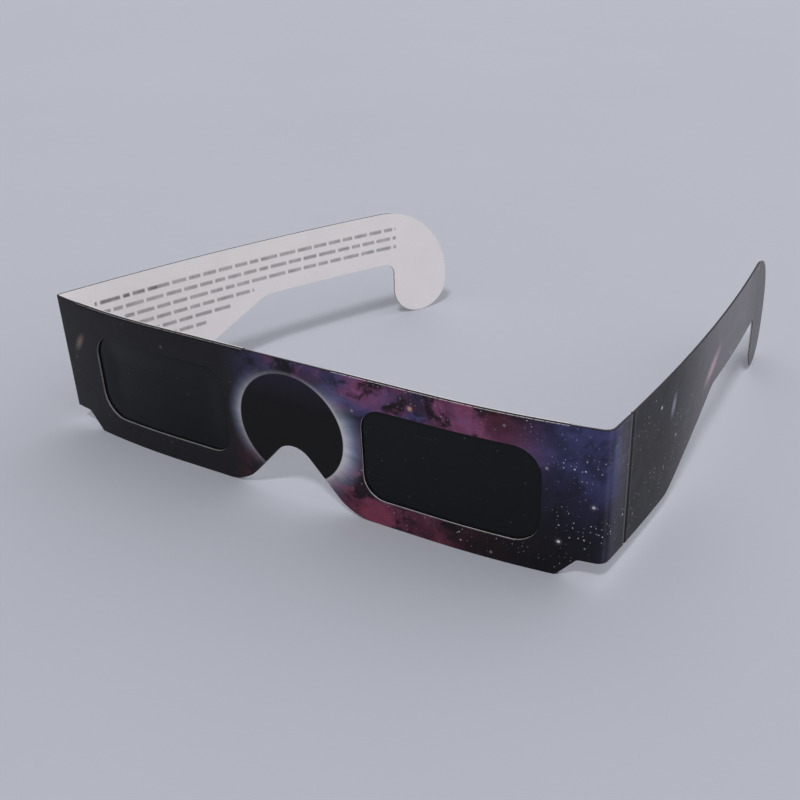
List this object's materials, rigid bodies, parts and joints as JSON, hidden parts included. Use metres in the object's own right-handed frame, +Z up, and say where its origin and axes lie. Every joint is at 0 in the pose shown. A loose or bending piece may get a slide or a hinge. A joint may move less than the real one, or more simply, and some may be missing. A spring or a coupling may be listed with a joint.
{
  "type": "solar viewing glasses",
  "caption": "Folding card viewing glasses: a creased card front with two dark film windows, a nose arch and two hinged temples with ear hooks.",
  "frame": {"origin": "bottom centre of the whole at rest, on the table that the lower card edges and the hook tips stand on", "axes": "+X along the front towards the right temple as seen from outside, +Y from the front to the ear hooks, +Z up"},
  "size_m": [0.151, 0.1256, 0.0362],
  "materials": {
    "printed_card": "satin print outside, bare white card inside and on cut edges",
    "rear_card": "white coated card, left unprinted",
    "dark_film": "smooth black polymer film",
    "paper_glue": "dried paper glue"
  },
  "bodies": {
    "front": {"front_panel": "printed_card", "rear_panel": "rear_card", "left_top_fold": "printed_card", "right_top_fold": "printed_card", "left_filter_film": "dark_film", "right_filter_film": "dark_film", "left_glue": "paper_glue", "right_glue": "paper_glue", "bridge_glue": "paper_glue"},
    "left_arm": {"left_temple": "printed_card"},
    "right_arm": {"right_temple": "printed_card"}
  },
  "joints": [
    {"name": "left_temple_fold", "type": "hinge", "parent": "front", "child": "left_arm", "pos_m": [-0.07506, -0.05886, 0.018], "axis": [0, 0, -1], "range_deg": [-97.5, 61.7]},
    {"name": "right_temple_fold", "type": "hinge", "parent": "front", "child": "right_arm", "pos_m": [0.07236, -0.05886, 0.018], "axis": [0, 0, 1], "range_deg": [-74.3, 88.4]}
  ]
}
